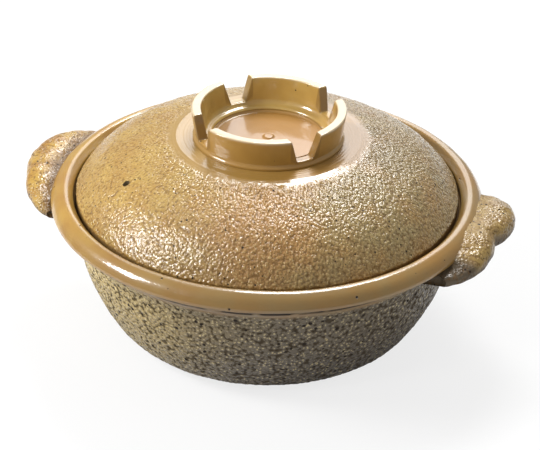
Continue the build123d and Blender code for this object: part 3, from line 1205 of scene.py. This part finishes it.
@dataclass
class KnobRing:
    """The upright ring on the collar, with four notches that leave four raised parts."""

    foot_radius: float = 44.8 * MM
    top_radius: float = 46.8 * MM
    wall: float = 5.6 * MM
    well_radius: float = 34 * MM
    step: float = 2.6 * MM
    lip: float = 0.9 * MM
    lean: float = 2.6 * MM
    softness: float = 0.8 * MM
    notch_count: int = 4
    notch_depth: float = 14.6 * MM
    notch_top_width: float = 19.4 * MM
    notch_floor_width: float = 10.4 * MM
    notch_azimuth: float = 45.0
    corner_round: float = 0.9 * MM
    work: HandWork = field(default_factory=lambda: HandWork(37))

    @property
    def middle_radius(self) -> float:
        """Radius of the middle of the ring's wall."""
        return (self.top_radius + self.foot_radius - self.wall) / 2

    def crest(self, offset: Array, top: float) -> Array:
        """Height of the ring's top at a distance along the ring from a notch's middle."""
        floor = top - self.notch_depth
        half_floor, half_top = self.notch_floor_width / 2, self.notch_top_width / 2
        slope = self.notch_depth / (half_top - half_floor)
        rise = (np.abs(offset) - half_floor) * slope
        soft = self.corner_round * slope / 2
        left = softened(self.notch_depth - softened(rise, soft), soft)
        return floor + self.notch_depth - left

    def columns(self) -> Array:
        """Distances along the ring from a notch's middle, up to the middle of a raised part."""
        reach = self.middle_radius * math.pi / self.notch_count
        close = np.arange(0, self.notch_top_width / 2 + 2 * MM, 0.3 * MM)
        return np.concatenate([close, np.linspace(close[-1], reach, 26)[1:]])

    def section(self, foot: float, crest: float, top: float) -> Array:
        """Points of the section at one column, from the well's edge round the outside to the step inside."""
        count = 14
        outer_foot = self.foot_radius + self.lip
        bead = [
            (outer_foot + self.lip * 0.35 * math.sin(a), foot + self.lip * (1 - math.cos(a)))
            for a in np.linspace(0, math.pi * 0.9, 6)
        ]
        low = foot + 3 * self.lip
        soft = self.softness
        lean_out = (self.top_radius - self.foot_radius) / (top - low)
        outer = [(self.foot_radius + lean_out * (z - low), z) for z in np.linspace(low, crest - soft, count)]
        shift = lean_out * (crest - soft - low)
        edge_out = self.foot_radius + shift
        edge_in = edge_out - self.wall
        turns = np.linspace(0, math.pi / 2, 6)
        over = [(edge_out - soft + soft * math.cos(a), crest - soft + soft * math.sin(a)) for a in turns[1:]]
        over += [(edge_out - soft - (self.wall - 2 * soft) * s, crest) for s in (0.33, 0.66)]
        over += [(edge_in + soft - soft * math.sin(a), crest - soft + soft * math.cos(a)) for a in turns]
        full = top - low
        inner_foot = self.top_radius - self.wall - self.lean
        inner = [
            (inner_foot + self.lean * (z - foot - self.step) / (full + 3 * self.lip - self.step), z)
            for z in np.linspace(crest - soft, foot + self.step * 1.6, count)[1:]
        ]
        step = [
            (
                inner_foot - self.step * (1 - math.cos(a)) * 1.2,
                foot + self.step * 1.6 - self.step * math.sin(a) * 0.9,
            )
            for a in np.linspace(0.2, math.pi / 2, 6)
        ]
        last = (self.well_radius, foot + self.step * 0.4)
        return np.array([(self.well_radius, foot), *bead, *outer, *over, *inner, *step, last])

    def build(self) -> bpy.types.Object:
        """Makes the ring and dresses it."""
        low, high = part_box("knob_ring")
        half = self.columns()
        offsets = np.concatenate([half, half[::-1][1:] * -1])[:-1]
        quarter = 2 * math.pi / self.notch_count
        edge = self.notch_top_width / 2
        edge_turn = math.asin(edge / self.middle_radius)
        columns = []
        for index in range(self.notch_count):
            for place, offset in enumerate(offsets):
                home = index if offset >= 0 and place < len(half) else index + 1
                section = self.section(low.z, float(self.crest(np.array(offset), high.z)), high.z)
                size = abs(offset)
                radius = section[:, 0]
                if size <= edge:
                    spread = np.arcsin(size / radius)
                else:
                    weight = (size - edge) / (half[-1] - edge)
                    even = edge_turn + (quarter / 2 - edge_turn) * weight
                    spread = even + (1 - weight) * (np.arcsin(edge / radius) - edge_turn)
                angle = math.radians(self.notch_azimuth) + home * quarter + np.sign(offset) * spread
                east, north = radius * np.cos(angle), radius * np.sin(angle)
                columns.append(np.stack([east, north, section[:, 1]], axis=1))
        grid = np.stack(columns, axis=1)
        normals = grid_normals(grid, True, True)
        spots = grid.reshape(-1, 3)
        relief = self.work.layered(spots, 14 * MM) * 0.16 * MM
        relief *= ramp(spots[:, 2], low.z, low.z + 2 * MM)
        shaped = raised(grid, normals, relief)
        ring = np.concatenate([shaped, shaped[:, :1]], axis=1)
        slope = np.abs(np.gradient(ring[:, :, 2], axis=1)) / np.linalg.norm(np.gradient(ring, axis=1), axis=2)
        cut = ramp(slope, 0.25, 0.7)
        # The flat tops of the raised parts, which the glaze paints pale grey as a painted reflection.
        rim = ramp(ring[:, :, 2], high.z - 0.9 * MM, high.z - 0.2 * MM) * (1 - cut)
        made = grid_object("knob_crown", ring, True, {"cut": cut, "edge": rim}, capped=False)
        weld = made.modifiers.new("seam", "WELD")
        weld.merge_threshold = 0.001 * MM
        frozen(made)
        made.data.materials.append(KnobGlaze().build())
        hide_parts("knob_ring")
        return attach(made, "lid")


# ---------------------------------------------------------------- studio
@dataclass
class Studio:
    """White floor, soft lamps and the camera that sees the pot as the photograph does."""

    camera_turn: float = 15.8
    camera_rise: float = 30.8
    camera_distance: float = 1.054
    camera_roll: float = 1.38
    aim_height: float = 0.062
    lens: float = 112.4
    shift: float = 0.0067
    world_strength: float = 0.33
    lamps: tuple[tuple[str, float, float, float, float, float], ...] = (
        ("key_left", -78.0, 36.0, 1.0, 0.32, 9.2),
        ("back_top", 170.0, 56.0, 1.1, 0.38, 10.5),
        ("back_low", 172.0, 26.0, 1.3, 0.8, 4.0),
        ("right_fill", 82.0, 34.0, 1.4, 0.6, 2.5),
        ("front_fill", 10.0, 30.0, 1.6, 0.5, 1.2),
        ("graze_fill", -42.0, 38.0, 1.2, 0.2, 2.6),
    )

    def direction(self, turn: float, rise: float) -> Vector:
        """Unit vector from the pot, by degrees to the right of the camera and above the floor."""
        around = math.radians(self.camera_turn + turn)
        up = math.radians(rise)
        return Vector((math.sin(around) * math.cos(up), -math.cos(around) * math.cos(up), math.sin(up)))

    def set_camera(self) -> None:
        """Places the camera and makes it the scene's."""
        data = bpy.data.cameras.new("photo_camera")
        data.lens = self.lens
        data.shift_x = self.shift
        data.clip_start = 0.05
        camera = bpy.data.objects.new("photo_camera", data)
        bpy.context.scene.collection.objects.link(camera)
        back = self.direction(0.0, self.camera_rise)
        aim = Vector((0, 0, self.aim_height))
        roll = Matrix.Rotation(math.radians(self.camera_roll), 4, "Z")
        facing = (-back).to_track_quat("-Z", "Y").to_matrix().to_4x4()
        camera.matrix_world = Matrix.Translation(aim + back * self.camera_distance) @ facing @ roll
        bpy.context.scene.camera = camera

    def hang_lamps(self) -> None:
        """Hangs the soft lamps round the pot."""
        for name, turn, rise, distance, size, power in self.lamps:
            data = bpy.data.lights.new(name, "AREA")
            data.size = size
            data.energy = power
            lamp = bpy.data.objects.new(name, data)
            lamp.visible_glossy = not name.endswith("fill")
            bpy.context.scene.collection.objects.link(lamp)
            toward = self.direction(turn, rise)
            lamp.matrix_world = (
                Matrix.Translation(toward * distance + Vector((0, 0, self.aim_height)))
                @ toward.to_track_quat("Z", "Y").to_matrix().to_4x4()
            )

    def white_world(self) -> None:
        """Plain white surroundings, at full strength to the camera and dimmer to all else."""
        world = bpy.data.worlds.new("white_room")
        bpy.context.scene.world = world
        world.use_nodes = True
        sheet = Sheet(world.node_tree)
        back = world.node_tree.nodes["Background"]
        path = sheet.node("LightPath")
        seen = path.outputs["Is Camera Ray"]
        sheet.feeds(back, Color=(1, 1, 1, 1), Strength=sheet.between(seen, self.world_strength, 1.0))

    def lay_floor(self) -> None:
        """Lays the pale floor, which keeps the pot's shadow."""
        reach = 3.0
        mesh = bpy.data.meshes.new("studio_floor")
        corners = [(-reach, -reach, 0), (reach, -reach, 0), (reach, reach, 0), (-reach, reach, 0)]
        mesh.from_pydata([(x, y, z - 0.2 * MM) for x, y, z in corners], [], [(0, 1, 2, 3)])
        floor = bpy.data.objects.new("studio_floor", mesh)
        bpy.context.scene.collection.objects.link(floor)
        material = bpy.data.materials.new("pale_floor")
        material.use_nodes = True
        sheet = Sheet(material.node_tree)
        tree = material.node_tree
        shader = tree.nodes["Principled BSDF"]
        sheet.feeds(shader, Base_Color=(0.6, 0.6, 0.6, 1), Roughness=0.9)
        glow = sheet.node("Emission", Color=(1, 1, 1, 1), Strength=1.1)
        path = sheet.node("LightPath")
        mixed = sheet.node("MixShader")
        share = sheet.times(path.outputs["Is Camera Ray"], 0.7)
        sheet.feeds(mixed, share, shader.outputs[0], glow.outputs[0])
        sheet.feed(tree.nodes["Material Output"], "Surface", mixed.outputs[0])
        floor.data.materials.append(material)

    def build(self) -> None:
        """Sets the whole studio up."""
        bpy.context.scene.view_settings.view_transform = "Standard"
        self.set_camera()
        self.hang_lamps()
        self.white_world()
        self.lay_floor()


def clear_scene() -> None:
    """Removes what a new Blender file holds."""
    for item in list(bpy.data.objects):
        bpy.data.objects.remove(item)


def main() -> None:
    """Loads the frame, builds every piece over it and sets up the studio."""
    logging.basicConfig(level=logging.INFO, format="%(asctime)s %(message)s")
    clear_scene()
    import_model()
    pieces: list[Bowl | Ear | Lid | KnobRing] = [
        Bowl(),
        Ear(
            name="left_ear_body",
            node="left_ear",
            side=-1,
            lobes=(Lobe(28.5 * MM, 2.5, 19.5, 0.6), Lobe(21 * MM, -11.5, 14.5, 0.7)),
            work=HandWork(5),
            painted_shade=0.45,
            root_shade=1.0,
            shade_edge=-0.2,
            smear=0.0,
            smear_end=12.0,
            ridge_fall=1.4,
            melt=4 * MM,
        ),
        Ear(
            name="right_ear_body",
            node="right_ear",
            side=1,
            lobes=(Lobe(23.5 * MM, 6.5, 11.5, 0.35), Lobe(18.5 * MM, -11.5, 14.0, 0.45)),
            work=HandWork(7),
            painted_shade=0.85,
            root_shade=0.1,
            shade_edge=-0.041,
            smear=1.0,
            smear_end=17.0,
            ridge_fall=0.95,
            melt=0.9 * MM,
        ),
        Lid(),
        KnobRing(),
    ]
    for piece in pieces:
        made = piece.build()
        LOG.info("%s: %d faces", made.name, len(made.data.polygons))
    Studio().build()


if __name__ == "__main__":
    main()
